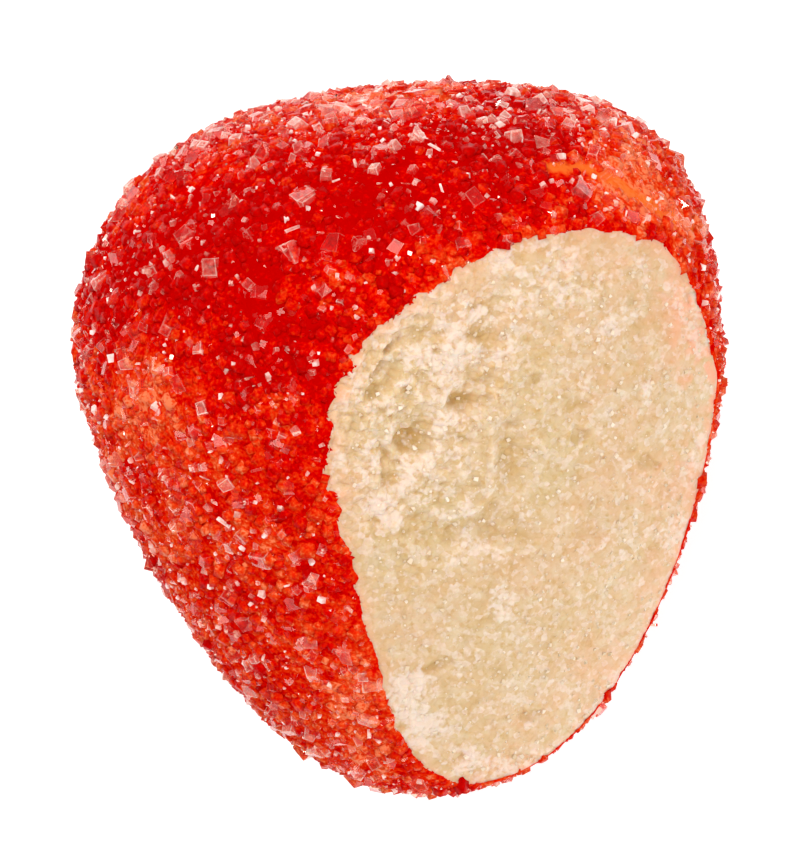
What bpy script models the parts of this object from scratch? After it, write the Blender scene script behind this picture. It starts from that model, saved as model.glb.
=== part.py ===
"""A marzipan strawberry that lies on its side, with a slice cut off one cheek.

It is made of two solids. The marzipan is the pale core, which runs through the whole
sweet and shows, crumbly, where the slice was cut off. The sugar coat is the thin red
crust wrapped round the core up to the rim of the cut, with its largest crystals on it.

Frame: metres, +Z up, the tip of the berry towards -Y. The origin is on the table, on
the small flat spot that the sweet rests on, straight below the middle of its axis.
"""
import math
import random

import bmesh
import bpy
from mathutils import Matrix, Vector, noise

MM = 0.001

# The berry, along its own axis from the tip (t = 0) to the shoulder (t = 1).
LENGTH = 33.0 * MM
# Each side has its half width, the place where it is widest, and two pairs of powers
# that round it off, one towards the tip and one towards the shoulder.
LEFT_SIDE = {"reach": 14.65 * MM, "widest": 0.66, "tip": (1.35, 2.0), "shoulder": (2.0, 2.75)}
RIGHT_SIDE = {"reach": 15.4 * MM, "widest": 0.59, "tip": (1.2, 2.9), "shoulder": (3.5, 3.5)}
UPPER_DEPTH = 0.9
LOWER_DEPTH = 0.93

# How it lies: the shoulder end is raised, and the axis is turned a little to the left.
PITCH = math.radians(14)
TURN = math.radians(6.2)
REST_HEIGHT = 12.2 * MM

# The crust, and the clearance that keeps it off the marzipan.
CRUST = 0.5 * MM
CLEARANCE = 0.3 * MM

# The cut: where it faces, how far it is from the middle of the berry, and its low dome.
CUT_SIDEWAYS = math.radians(32.6)
CUT_TIPWARDS = math.radians(27)
CUT_DISTANCE = 10.8 * MM
DOME_RADIUS_ACROSS = 24.3 * MM
DOME_RADIUS_ALONG = 60.8 * MM
CUT_SIZE = 36 * MM
CUT_CELLS = 38

# Crumbly relief of the cut: a fine grain, and pits torn out where it was driest.
GRAIN_HEIGHT = 0.16 * MM
GRAIN_SPACING = 1.3 * MM
PIT_DEPTH = 1.4 * MM
PIT_SPACING = 2.6 * MM
PIT_THRESHOLD = 0.12
PITTED_PLACE = (-5.5 * MM, 4.0 * MM)
PITTED_RADIUS = 6.5 * MM

# Sugar: the largest crystals, spread evenly but for a glazed band with few of them.
CRYSTALS = 250
CRYSTAL_SPACING = 1.8 * MM
CRYSTAL_SIZE = (0.8 * MM, 1.25 * MM)
CRYSTAL_SHAPE = (1.0, 0.82, 0.7)
CRYSTAL_CHAMFER = (0.12, 0.32)
CRYSTAL_SINK = 0.2
CRYSTAL_TILT = math.radians(28)
CRYSTAL_MARGIN = 0.05 * MM
BAND_FROM = (4.5 * MM, 14.0 * MM)
BAND_TO = (-5.0 * MM, 4.0 * MM)
BAND_RADIUS = 3.0 * MM
BAND_SHARE = 0.25

OUTER_FACETS = (40, 24)
INNER_FACETS = (36, 22)


def clear_scene():
    for old in list(bpy.data.objects):
        bpy.data.objects.remove(old, do_unlink=True)


def make_collection(name):
    collection = bpy.data.collections.new(name)
    bpy.context.scene.collection.children.link(collection)
    return collection


def make_material(name, colour, roughness):
    material = bpy.data.materials.new(name)
    material.use_nodes = True
    shader = material.node_tree.nodes["Principled BSDF"]
    shader.inputs["Base Color"].default_value = (*colour, 1.0)
    shader.inputs["Roughness"].default_value = roughness
    shader.inputs["Metallic"].default_value = 0.0
    return material


def make_object(name, mesh_builder, collection):
    """Turn a bmesh into an object, its faces pointing outwards."""
    bmesh.ops.recalc_face_normals(mesh_builder, faces=mesh_builder.faces)
    mesh = bpy.data.meshes.new(name)
    mesh_builder.to_mesh(mesh)
    mesh_builder.free()
    thing = bpy.data.objects.new(name, mesh)
    collection.objects.link(thing)
    return thing


# --- The berry ---------------------------------------------------------------------

def half_width(side, t):
    """Half width of one side at t, from 0 at the tip to 1 at the shoulder."""
    if t < side["widest"]:
        power, root = side["tip"]
        away = (side["widest"] - t) / side["widest"]
    else:
        power, root = side["shoulder"]
        away = (t - side["widest"]) / (1 - side["widest"])
    return side["reach"] * max(0.0, 1 - away ** power) ** (1 / root)


def berry_point(t, around):
    """The surface at t, at an angle round the axis: 0 is right and a quarter turn is up."""
    left = half_width(LEFT_SIDE, t)
    right = half_width(RIGHT_SIDE, t)
    reach = (left + right) / 2 + (right - left) / 2 * math.cos(around)
    depth = UPPER_DEPTH if math.sin(around) > 0 else LOWER_DEPTH
    return Vector((reach * math.cos(around), LENGTH * (t - 0.5), depth * reach * math.sin(around)))


def berry_pose():
    lie = Matrix.Rotation(TURN, 4, "Z") @ Matrix.Rotation(PITCH, 4, "X")
    return Matrix.Translation((0, 0, REST_HEIGHT)) @ lie


def make_berry(name, inset, facets, collection):
    """The berry as a closed body, moved in by inset and flattened where it rests."""
    segments, rings = facets
    body = bmesh.new()
    bmesh.ops.create_uvsphere(body, u_segments=segments, v_segments=rings, radius=1.0)
    poles_along_y = Matrix.Rotation(math.radians(-90), 4, "X")
    for vert in body.verts:
        unit = poles_along_y @ vert.co
        t = min(1.0, max(0.0, (unit.y + 1) / 2))
        vert.co = berry_pose() @ berry_point(t, math.atan2(unit.z, unit.x))
    body.normal_update()
    inwards = [(vert, -inset * vert.normal) for vert in body.verts]
    for vert, step in inwards:
        vert.co += step
        vert.co.z = max(vert.co.z, inset)
    return make_object(name, body, collection)


# --- The cut -----------------------------------------------------------------------

def cut_frame():
    """The cut's own axes: across it, along it, and out of it."""
    out = Vector((
        math.sin(CUT_SIDEWAYS) * math.cos(CUT_TIPWARDS),
        -math.sin(CUT_TIPWARDS),
        math.cos(CUT_SIDEWAYS) * math.cos(CUT_TIPWARDS),
    ))
    along = (Vector((0, 1, 0)) - out.y * out).normalized()
    return along.cross(out), along, out


def crumb(across, along):
    """How far the crumb is torn below the smooth dome, in metres."""
    grain_place = Vector((across, along, 0)) / GRAIN_SPACING
    pit_place = Vector((across, along, 0)) / PIT_SPACING + Vector((7.0, 3.0, 1.0))
    from_centre = math.hypot(across - PITTED_PLACE[0], along - PITTED_PLACE[1])
    dryness = 0.35 + 0.65 * math.exp(-(from_centre / PITTED_RADIUS) ** 2)
    grain = GRAIN_HEIGHT * (1 + noise.noise(grain_place)) / 2
    pit = PIT_DEPTH * dryness * max(0.0, noise.noise(pit_place) - PIT_THRESHOLD)
    return grain + pit


def cut_point(across, along):
    """A point on the cut, given by its place across and along the cut."""
    across_axis, along_axis, out = cut_frame()
    dome = across ** 2 / (2 * DOME_RADIUS_ACROSS) + along ** 2 / (2 * DOME_RADIUS_ALONG)
    height = CUT_DISTANCE - dome - crumb(across, along)
    middle = Vector((0, 0, REST_HEIGHT))
    return middle + across * across_axis + along * along_axis + height * out


def make_cutter(name, collection):
    """A block over the cut, whose underside is the crumbly dome."""
    block = bmesh.new()
    bmesh.ops.create_grid(block, x_segments=CUT_CELLS, y_segments=CUT_CELLS, size=CUT_SIZE / 2)
    for vert in block.verts:
        vert.co = cut_point(vert.co.x, vert.co.y)
    underside = list(block.faces)
    lifted = bmesh.ops.extrude_face_region(block, geom=underside, use_keep_orig=True)
    lid = [item for item in lifted["geom"] if isinstance(item, bmesh.types.BMVert)]
    bmesh.ops.translate(block, verts=lid, vec=cut_frame()[2] * LENGTH / 2)
    cutter = make_object(name, block, collection)
    cutter.hide_render = True
    cutter.display_type = "WIRE"
    return cutter


# --- Sugar crystals ----------------------------------------------------------------

def random_surface_point(mesh, faces, total_areas, draw):
    """A point drawn evenly over the mesh's area, with the normal there."""
    face = mesh.polygons[draw.choices(faces, cum_weights=total_areas)[0]]
    corners = [mesh.vertices[index].co for index in face.vertices]
    start = draw.randrange(len(corners) - 2) + 1
    a, b = draw.random(), draw.random()
    if a + b > 1:
        a, b = 1 - a, 1 - b
    place = corners[0] + a * (corners[start] - corners[0]) + b * (corners[start + 1] - corners[0])
    return place, face.normal.copy()


def in_glazed_band(place):
    start, end = Vector(BAND_FROM), Vector(BAND_TO)
    run = end - start
    share = min(1.0, max(0.0, (place.xy - start).dot(run) / run.length_squared))
    return place.z > REST_HEIGHT and (place.xy - start - share * run).length < BAND_RADIUS


def crystal_block(place, normal, size, draw):
    """A sugar crystal: a block with two sliced-off edges, part sunk in the crust."""
    block = bmesh.new()
    bmesh.ops.create_cube(block, size=1.0)
    top_edges = [edge for edge in block.edges if all(v.co.z > 0 and v.co.x > 0 for v in edge.verts)]
    side_edges = [edge for edge in block.edges if all(v.co.x < 0 and v.co.y < 0 for v in edge.verts)]
    bmesh.ops.bevel(
        block,
        geom=top_edges + side_edges,
        offset=draw.uniform(*CRYSTAL_CHAMFER),
        offset_type="OFFSET",
        segments=1,
        affect="EDGES",
    )
    spin = Matrix.Rotation(draw.uniform(0, 2 * math.pi), 4, "Z")
    tilt = Matrix.Rotation(draw.uniform(-CRYSTAL_TILT, CRYSTAL_TILT), 4, "X")
    stand = normal.to_track_quat("Z", "Y").to_matrix().to_4x4()
    height = size * CRYSTAL_SHAPE[2] * CRYSTAL_SINK
    stretch = Matrix.Diagonal((*(size * share for share in CRYSTAL_SHAPE), 1.0))
    block.transform(Matrix.Translation(place + height * normal) @ stand @ spin @ tilt @ stretch)
    return block


def clear_of_edges(block):
    """Whether a crystal stays off the table and under the cut."""
    across_axis, along_axis, out = cut_frame()
    for vert in block.verts:
        from_middle = vert.co - Vector((0, 0, REST_HEIGHT))
        edge = cut_point(from_middle.dot(across_axis), from_middle.dot(along_axis))
        if vert.co.z < CRYSTAL_MARGIN or (vert.co - edge).dot(out) > -CRYSTAL_MARGIN:
            return False
    return True


def make_crystals(berry, draw, collection):
    """Spread the crystals: each random place is kept if no other one is too near."""
    faces = range(len(berry.data.polygons))
    total_areas = []
    for face in berry.data.polygons:
        total_areas.append(face.area + (total_areas[-1] if total_areas else 0.0))
    places = []
    while len(places) < CRYSTALS:
        place, normal = random_surface_point(berry.data, faces, total_areas, draw)
        if in_glazed_band(place) and draw.random() > BAND_SHARE:
            continue
        if any((place - other).length < CRYSTAL_SPACING for other in places):
            continue
        block = crystal_block(place, normal, draw.uniform(*CRYSTAL_SIZE), draw)
        if clear_of_edges(block):
            make_object(f"crystal_{len(places)}", block, collection)
            places.append(place)
        else:
            block.free()


# --- The two solids ----------------------------------------------------------------

def apply_boolean(target, operation, cutter=None, collection=None):
    boolean = target.modifiers.new(operation.title(), "BOOLEAN")
    boolean.operation = operation
    boolean.solver = "EXACT"
    if collection:
        boolean.operand_type = "COLLECTION"
        boolean.collection = collection
    else:
        boolean.object = cutter
    bpy.context.view_layer.objects.active = target
    bpy.ops.object.modifier_apply(modifier=boolean.name)


def make_marzipan(parts, cutter):
    core = make_berry("marzipan", CRUST + CLEARANCE, INNER_FACETS, parts)
    core.data.materials.append(make_material("marzipan_crumb", (0.80, 0.62, 0.36), 0.85))
    apply_boolean(core, "DIFFERENCE", cutter)
    return core


def make_sugar_coat(parts, cutters, cutter):
    coat = make_berry("sugar_coat", 0.0, OUTER_FACETS, parts)
    coat.data.materials.append(make_material("red_sugar", (0.72, 0.01, 0.005), 0.35))
    draw = random.Random(11)
    loose = make_collection("loose crystals")
    make_crystals(coat, draw, loose)
    apply_boolean(coat, "UNION", collection=loose)
    for crystal in list(loose.objects):
        bpy.data.objects.remove(crystal, do_unlink=True)
    bpy.data.collections.remove(loose)
    cavity = make_berry("cavity", CRUST, INNER_FACETS, cutters)
    cavity.hide_render = True
    cavity.display_type = "WIRE"
    apply_boolean(coat, "DIFFERENCE", cavity)
    apply_boolean(coat, "DIFFERENCE", cutter)
    return coat


def main():
    clear_scene()
    parts = make_collection("marzipan strawberry")
    cutters = make_collection("cutters")
    cutter = make_cutter("cut_block", cutters)
    make_marzipan(parts, cutter)
    make_sugar_coat(parts, cutters, cutter)


main()
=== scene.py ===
# %% [markdown]
# # A marzipan strawberry with a slice cut off its cheek
#
# The sweet has two layers. Pale almond paste fills it and shows, crumbly, at the cut.
# Round it lies a thin crust of red glaze, and the crust is packed with sugar crystals.
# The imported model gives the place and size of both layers, and this lesson dresses
# them: first the forms, then the sugar, then the finishes, the light and the camera.

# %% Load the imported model
import math
import random

import bmesh
import bpy
import numpy as np
from mathutils import Matrix, Vector, noise
from mathutils.bvhtree import BVHTree
from mathutils.kdtree import KDTree


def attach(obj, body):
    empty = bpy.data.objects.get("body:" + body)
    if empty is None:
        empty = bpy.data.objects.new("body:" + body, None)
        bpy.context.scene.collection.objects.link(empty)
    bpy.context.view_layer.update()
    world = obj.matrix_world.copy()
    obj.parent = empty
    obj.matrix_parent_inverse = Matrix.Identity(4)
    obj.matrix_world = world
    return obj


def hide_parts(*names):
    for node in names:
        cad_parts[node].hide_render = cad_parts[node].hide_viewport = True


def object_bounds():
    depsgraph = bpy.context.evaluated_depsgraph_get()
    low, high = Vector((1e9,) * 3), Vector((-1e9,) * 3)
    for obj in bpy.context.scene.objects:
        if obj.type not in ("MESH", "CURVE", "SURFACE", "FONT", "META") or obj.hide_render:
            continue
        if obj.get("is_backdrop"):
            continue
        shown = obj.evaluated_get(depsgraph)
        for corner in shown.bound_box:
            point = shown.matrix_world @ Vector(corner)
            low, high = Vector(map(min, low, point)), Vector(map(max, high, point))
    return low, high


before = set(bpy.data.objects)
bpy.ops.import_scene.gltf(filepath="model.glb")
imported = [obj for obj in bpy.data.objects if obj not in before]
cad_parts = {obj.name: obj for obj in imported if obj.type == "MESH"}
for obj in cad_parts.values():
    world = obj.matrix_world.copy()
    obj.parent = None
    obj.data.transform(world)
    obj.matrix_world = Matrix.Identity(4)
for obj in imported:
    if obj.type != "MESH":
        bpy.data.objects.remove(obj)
cad_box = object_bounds()
bpy.ops.object.select_all(action="DESELECT")
print("CAD nodes:", sorted(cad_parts))

# %% [markdown]
# ## The form of the berry
#
# A strawberry sweet is shaped in a mould, so one rule gives its whole form: for each
# place along the axis, from the tip to the shoulder, it says how far the left and the
# right cheek reach. A sphere could be dragged into that form by hand with proportional
# editing, but then no other layer would fit it. With a rule, every layer is the same
# form moved in by its own depth.

# %% The rule for the form
MM = 0.001
LENGTH = 33.0 * MM
LEFT_SIDE = {"reach": 14.65 * MM, "widest": 0.66, "tip": (1.35, 2.0), "shoulder": (2.0, 2.75)}
RIGHT_SIDE = {"reach": 15.4 * MM, "widest": 0.59, "tip": (1.2, 2.9), "shoulder": (3.5, 3.5)}
UPPER_DEPTH = 0.9
LOWER_DEPTH = 0.93
PITCH = math.radians(14)
TURN = math.radians(6.2)
REST_HEIGHT = 12.2 * MM
MIDDLE = np.array((0.0, 0.0, REST_HEIGHT))


def half_width(side, t):
    """How far one cheek reaches at t, from 0 at the tip to 1 at the shoulder."""
    widest = side["widest"]
    tip_power, tip_root = side["tip"]
    shoulder_power, shoulder_root = side["shoulder"]
    near_tip = 1 - np.clip((widest - t) / widest, 0, 1) ** tip_power
    near_shoulder = 1 - np.clip((t - widest) / (1 - widest), 0, 1) ** shoulder_power
    return side["reach"] * np.where(
        t < widest, near_tip ** (1 / tip_root), near_shoulder ** (1 / shoulder_root)
    )


def berry_points(t, around):
    """Points of the berry at t along its axis and at an angle round it, as it lies."""
    left, right = half_width(LEFT_SIDE, t), half_width(RIGHT_SIDE, t)
    reach = (left + right) / 2 + (right - left) / 2 * np.cos(around)
    depth = np.where(np.sin(around) > 0, UPPER_DEPTH, LOWER_DEPTH)
    upright = np.stack(
        [reach * np.cos(around), LENGTH * (t - 0.5), depth * reach * np.sin(around)], axis=-1
    )
    lie = Matrix.Rotation(TURN, 3, "Z") @ Matrix.Rotation(PITCH, 3, "X")
    return upright @ np.array(lie).T + MIDDLE


def even_steps():
    """A table that turns equal steps over the surface into places along the axis."""
    t = (1 - np.cos(np.linspace(0, np.pi, 4001))) / 2
    reach = (half_width(LEFT_SIDE, t) + half_width(RIGHT_SIDE, t)) / 2
    walked = np.concatenate([[0], np.cumsum(np.hypot(np.diff(reach), LENGTH * np.diff(t)))])
    return walked / walked[-1], t


STEPS, STEP_PLACES = even_steps()
print(f"from tip to shoulder the berry is {LENGTH / MM:.0f} mm")

# %% [markdown]
# ## From a sphere to the berry
#
# A UV sphere is the start. Its rings run from pole to pole, so each ring can be laid on
# one place of the rule. The rings are spread evenly over the surface, because a bunch
# of rings at the widest part and none at the shoulder would leave coarse facets there.
# The depth of a layer is a move along the vertex normals, and what would sink under the
# table is pressed flat, as the weight of a soft sweet does it.

# %% Shape a sphere into a layer of the berry


def mesh_array(data, name, width, dtype=np.float32):
    values = np.empty(len(data) * width, dtype)
    data.foreach_get(name, values)
    return values.reshape(-1, width)


def set_points(mesh, points):
    mesh.vertices.foreach_set("co", np.asarray(points, np.float32).ravel())
    mesh.update()


def make_berry(name, inset, segments, rings):
    """A closed berry, moved in by inset and flattened where it rests."""
    bpy.ops.mesh.primitive_uv_sphere_add(segments=segments, ring_count=rings, radius=1)
    berry = bpy.context.object
    berry.name = name
    unit = mesh_array(berry.data.vertices, "co", 3)
    ring = np.arccos(np.clip(-unit[:, 2], -1, 1)) / np.pi
    around = np.arctan2(-unit[:, 1], unit[:, 0])
    set_points(berry.data, berry_points(np.interp(ring, STEPS, STEP_PLACES), around))
    normals = mesh_array(berry.data.vertices, "normal", 3)
    points = mesh_array(berry.data.vertices, "co", 3) - inset * normals
    points[:, 2] = np.maximum(points[:, 2], inset)
    set_points(berry.data, points)
    bpy.ops.object.shade_smooth()
    bpy.ops.object.select_all(action="DESELECT")
    return berry


# %% Measure depths under the skin
skin = make_berry("smooth skin", 0.0, 192, 108)
SKIN = BVHTree.FromObject(skin, bpy.context.evaluated_depsgraph_get())
bpy.data.objects.remove(skin, do_unlink=True)


def skin_depth(points):
    """How deep points lie under the berry's skin."""
    depths = []
    for point in points:
        nearest, normal, _, _ = SKIN.find_nearest(point)
        depths.append((nearest - Vector(point)).dot(normal))
    return np.array(depths)


print(f"the middle lies {skin_depth([MIDDLE])[0] / MM:.1f} mm under the skin")

# %% [markdown]
# ## The cut
#
# The slice came off with a soft, torn cut: a low dome rather than a plane, covered in
# crumbs. Everything on it is easiest to place in the cut's own three directions:
# across it, along it and out of it, with heights counted from the dome.

# %% The cut's own axes and its dome
CUT_SIDEWAYS = math.radians(32.6)
CUT_TIPWARDS = math.radians(27)
CUT_DISTANCE = 10.8 * MM
DOME_RADIUS_ACROSS = 24.3 * MM
DOME_RADIUS_ALONG = 60.8 * MM

out = Vector((
    math.sin(CUT_SIDEWAYS) * math.cos(CUT_TIPWARDS),
    -math.sin(CUT_TIPWARDS),
    math.cos(CUT_SIDEWAYS) * math.cos(CUT_TIPWARDS),
))
along = (Vector((0, 1, 0)) - out.y * out).normalized()
CUT_AXES = np.array([along.cross(out), along, out])


def over_cut(points):
    """Points as (across the cut, along it, height over its dome)."""
    places = (np.asarray(points) - MIDDLE) @ CUT_AXES.T
    places[:, 2] -= CUT_DISTANCE
    places[:, 2] += places[:, 0] ** 2 / (2 * DOME_RADIUS_ACROSS)
    places[:, 2] += places[:, 1] ** 2 / (2 * DOME_RADIUS_ALONG)
    return places


def from_cut(places):
    """The reverse of over_cut."""
    lifted = np.array(places)
    lifted[:, 2] += CUT_DISTANCE
    lifted[:, 2] -= lifted[:, 0] ** 2 / (2 * DOME_RADIUS_ACROSS)
    lifted[:, 2] -= lifted[:, 1] ** 2 / (2 * DOME_RADIUS_ALONG)
    return lifted @ CUT_AXES + MIDDLE


# %% [markdown]
# ## A map of the crumbs
#
# The relief of the cut is worked out once, as a map with a height for each small cell,
# and then used three times: to shape the cut, to colour it, and to set loose grains on
# it. Almond paste is a mass of ground almond and sugar, so the map adds granules of
# two sizes to a broad grain. Where the slice tore away, it left pits.

# %% Helpers for maps
CELL = 0.08 * MM
CUT_CENTRE = (0.35 * MM, 1.2 * MM)
CUT_WIDTH = 26.4 * MM
CUT_LENGTH = 32.4 * MM
COLUMNS = round(CUT_WIDTH / CELL) + 1
ROWS = round(CUT_LENGTH / CELL) + 1
MAP_ACROSS, MAP_ALONG = np.meshgrid(
    CUT_CENTRE[0] + CELL * (np.arange(COLUMNS) - (COLUMNS - 1) / 2),
    CUT_CENTRE[1] + CELL * (np.arange(ROWS) - (ROWS - 1) / 2),
)

# Crumbs are round lumps, so they look round from above even where the dome is steep.
# Their maps are therefore drawn in these coordinates, as the cells are seen from above.
DOME = from_cut(np.stack([MAP_ACROSS, MAP_ALONG, 0 * MAP_ACROSS], axis=-1).reshape(-1, 3))
SEEN = DOME.reshape(ROWS, COLUMNS, 3)[..., :2] / CELL
SEEN -= SEEN.min(axis=(0, 1))


def smooth_map(values, reach):
    """Blur a map, so that only hills wider than reach are left."""
    waves_across, waves_along = np.meshgrid(np.fft.fftfreq(COLUMNS, CELL), np.fft.fftfreq(ROWS, CELL))
    kept = np.exp(-2 * (np.pi * reach) ** 2 * (waves_across ** 2 + waves_along ** 2))
    return np.fft.ifft2(np.fft.fft2(values) * kept).real


def cloud_map(reach, seed):
    """A map of smooth random hills about reach wide, with a spread of 1."""
    hills = smooth_map(np.random.default_rng(seed).standard_normal((ROWS, COLUMNS)), reach / 2)
    whole = SEEN.astype(int)
    right, up = (SEEN - whole).transpose(2, 0, 1)
    column, row = whole[..., 0] % COLUMNS, whole[..., 1] % ROWS
    next_column, next_row = (column + 1) % COLUMNS, (row + 1) % ROWS
    lower = hills[row, column] * (1 - right) + hills[row, next_column] * right
    upper = hills[next_row, column] * (1 - right) + hills[next_row, next_column] * right
    return (lower * (1 - up) + upper * up) / hills.std()


def granule_map(spacing, seed):
    """Two maps of rounded granules: how high they stand, 1 at their tops and 0 in the
    seams between them, and a random number for each granule."""
    draw = np.random.default_rng(seed)
    columns, rows = (SEEN.max(axis=(0, 1)) * CELL / spacing).astype(int) + 3
    seeds = np.stack(np.meshgrid(np.arange(columns), np.arange(rows)), axis=-1) + 0.0
    seeds += draw.uniform(0.05, 0.95, seeds.shape)
    chances = draw.random(seeds.shape[:2])
    place = SEEN * CELL / spacing + 1
    cell = place.astype(int)
    nearest = np.full(MAP_ACROSS.shape, np.inf)
    second = nearest.copy()
    chance = np.zeros(MAP_ACROSS.shape)
    for step_along in (-1, 0, 1):
        for step_across in (-1, 0, 1):
            row = np.clip(cell[..., 1] + step_along, 0, rows - 1)
            column = np.clip(cell[..., 0] + step_across, 0, columns - 1)
            away = np.linalg.norm(place - seeds[row, column], axis=-1)
            chance = np.where(away < nearest, chances[row, column], chance)
            second = np.minimum(second, np.maximum(nearest, away))
            nearest = np.minimum(nearest, away)
    return np.clip((second - nearest) * 1.6, 0, 1) ** 0.5, chance


def from_map(values, points):
    """A map's values under points given as (across, along, height)."""
    column = np.rint((points[:, 0] - CUT_CENTRE[0]) / CELL + (COLUMNS - 1) / 2).astype(int)
    row = np.rint((points[:, 1] - CUT_CENTRE[1]) / CELL + (ROWS - 1) / 2).astype(int)
    return values[np.clip(row, 0, ROWS - 1), np.clip(column, 0, COLUMNS - 1)]


# %% The depth under the skin as a map
STRIDE = 4
coarse_dome = DOME.reshape(ROWS, COLUMNS, 3)[::STRIDE, ::STRIDE]
coarse_depth = skin_depth(coarse_dome.reshape(-1, 3)).reshape(coarse_dome.shape[:2])
DEPTH_MAP = np.kron(coarse_depth, np.ones((STRIDE, STRIDE)))[:ROWS, :COLUMNS]
DEPTH_MAP = smooth_map(DEPTH_MAP, 0.2 * MM)
print(f"the cut spans {np.sum(DEPTH_MAP > 0) * (CELL / MM) ** 2:.0f} square mm")

# %% The relief of the cut
GRAIN_HEIGHT = 0.16 * MM
GRAIN_SPACING = 1.3 * MM
PIT_DEPTH = 1.4 * MM
PIT_SPACING = 2.6 * MM
PIT_THRESHOLD = 0.12
TORN_PLACE = (-5.5 * MM, 4.0 * MM)
TORN_RADIUS = 6.5 * MM


def solid_crumb(across, along):
    """The relief that the solid model has too: a broad grain and wide pits."""
    place = Vector((across, along, 0))
    dryness = 0.35 + 0.65 * math.exp(-((place.xy - Vector(TORN_PLACE)).length / TORN_RADIUS) ** 2)
    grain = GRAIN_HEIGHT * (1 + noise.noise(place / GRAIN_SPACING)) / 2
    pit = noise.noise(place / PIT_SPACING + Vector((7.0, 3.0, 1.0))) - PIT_THRESHOLD
    return grain + PIT_DEPTH * dryness * max(0.0, pit)


# Each torn pit is (place across, place along, length, width, turn in degrees, depth), in mm.
TORN_PITS = (
    (-8.1, 7.8, 1.1, 0.55, 70, 0.7),
    (-4.4, 7.4, 1.1, 0.45, 10, 0.5),
    (-6.5, 5.1, 1.0, 0.4, 0, 0.45),
    (-7.0, 3.6, 0.45, 1.2, 20, 0.45),
    (-7.0, 10.2, 1.0, 0.7, 40, 0.4),
    (-4.6, 10.7, 0.8, 0.4, 60, 0.35),
    (2.2, 6.2, 0.7, 0.35, 20, 0.4),
    (6.7, 4.6, 0.8, 0.45, -20, 0.4),
    (-1.3, 1.1, 0.8, 0.4, 0, 0.3),
    (-1.9, -5.9, 0.8, 0.45, 20, 0.35),
    (5.3, -9.1, 0.7, 0.45, 0, 0.35),
    (5.3, 11.8, 1.7, 1.2, 20, 0.25),
)

# Each dusty place is (place across, place along, radius), in mm, and how pink it is.
DUSTY_PLACES = (
    (-5.2, 8.9, 1.4, 0.1),
    (-7.9, 9.7, 1.0, 0.3),
    (-4.8, 11.7, 1.1, 0.2),
    (-3.2, 9.6, 0.8, 0.0),
    (-6.7, 3.5, 1.1, 0.1),
    (-6.7, 1.5, 0.8, 0.2),
    (-3.0, -6.9, 1.1, 0.3),
    (-2.4, -8.6, 1.4, 0.2),
    (-1.2, -9.9, 1.1, 0.2),
    (-6.9, 1.9, 0.9, 0.3),
    (-2.0, 12.3, 1.0, 0.2),
    (2.0, -11.5, 1.2, 0.5),
    (4.5, -12.3, 1.3, 0.6),
    (6.9, -12.4, 1.2, 0.5),
    (9.3, -10.7, 1.1, 0.7),
    (10.6, -8.4, 1.2, 0.6),
    (10.4, 4.9, 0.8, 0.8),
    (8.9, 10.3, 1.3, 1.0),
    (7.0, 12.8, 1.2, 1.0),
    (2.4, 11.3, 0.9, 0.3),
    (-1.0, 14.3, 1.2, 0.7),
    (-0.3, 12.8, 0.9, 0.3),
    (0.4, -2.6, 0.8, 0.0),
    (-3.7, 13.9, 0.9, 0.5),
    (1.3, 13.2, 0.7, 0.7),
    (3.4, 14.3, 0.9, 0.9),
    (7.7, 10.9, 0.8, 0.9),
    (5.6, 8.3, 0.8, 0.5),
)

dusty, pink = np.zeros((2, ROWS, COLUMNS))
for place_across, place_along, radius, pinkness in DUSTY_PLACES:
    away = np.hypot(MAP_ACROSS / MM - place_across, MAP_ALONG / MM - place_along) / radius
    dusty += np.exp(-(away ** 2))
    pink += pinkness * np.exp(-(away ** 2) / 2)
torn = 0.3 + 0.7 * np.exp(
    -((MAP_ACROSS - TORN_PLACE[0] + 1.5 * MM) ** 2 + (MAP_ALONG - TORN_PLACE[1] - 2.5 * MM) ** 2) / TORN_RADIUS ** 2
)
torn = np.maximum(torn, np.clip(dusty, 0, 0.9))
in_paste = np.clip(DEPTH_MAP / (1.6 * MM), 0.15, 1)
relief = -np.vectorize(solid_crumb)(MAP_ACROSS, MAP_ALONG) * in_paste
granules, granule_chance = granule_map(0.75 * MM, 1)
grains, grain_chance = granule_map(0.33 * MM, 2)
relief += 0.1 * MM * torn * (granules - 0.7)
relief += 0.05 * MM * (0.4 + torn) * (grains - 0.7)
relief += 0.05 * MM * torn * cloud_map(0.35 * MM, 3)
relief -= 0.2 * MM * torn * in_paste * np.clip(cloud_map(0.8 * MM, 5) - 1.0, 0, 2)
ragged = np.clip(1.3 + 0.7 * cloud_map(0.45 * MM, 6), 0.3, 4)
for pit_across, pit_along, length, width, turn, depth in TORN_PITS:
    side, ahead = MAP_ACROSS / MM - pit_across, MAP_ALONG / MM - pit_along
    cos, sin = math.cos(math.radians(turn)), math.sin(math.radians(turn))
    away = ((cos * side + sin * ahead) / length) ** 2 + ((cos * ahead - sin * side) / width) ** 2
    relief -= 0.55 * depth * MM * np.exp(-((away * ragged) ** 1.5))
relief -= 0.35 * MM * np.clip((MAP_ALONG - 9 * MM) / (6 * MM), 0, 1) ** 2
print(f"relief from {relief.min() / MM:.2f} to {relief.max() / MM:.2f} mm")

# %% [markdown]
# ## The knife
#
# A Boolean needs a closed block to take away. A grid is laid over the cut, its points
# take their heights from the map, and the whole grid is extruded outwards. The same
# block trims every layer, as one knife did, so the layers meet without a gap.

# %% Make a block for the cut


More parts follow.
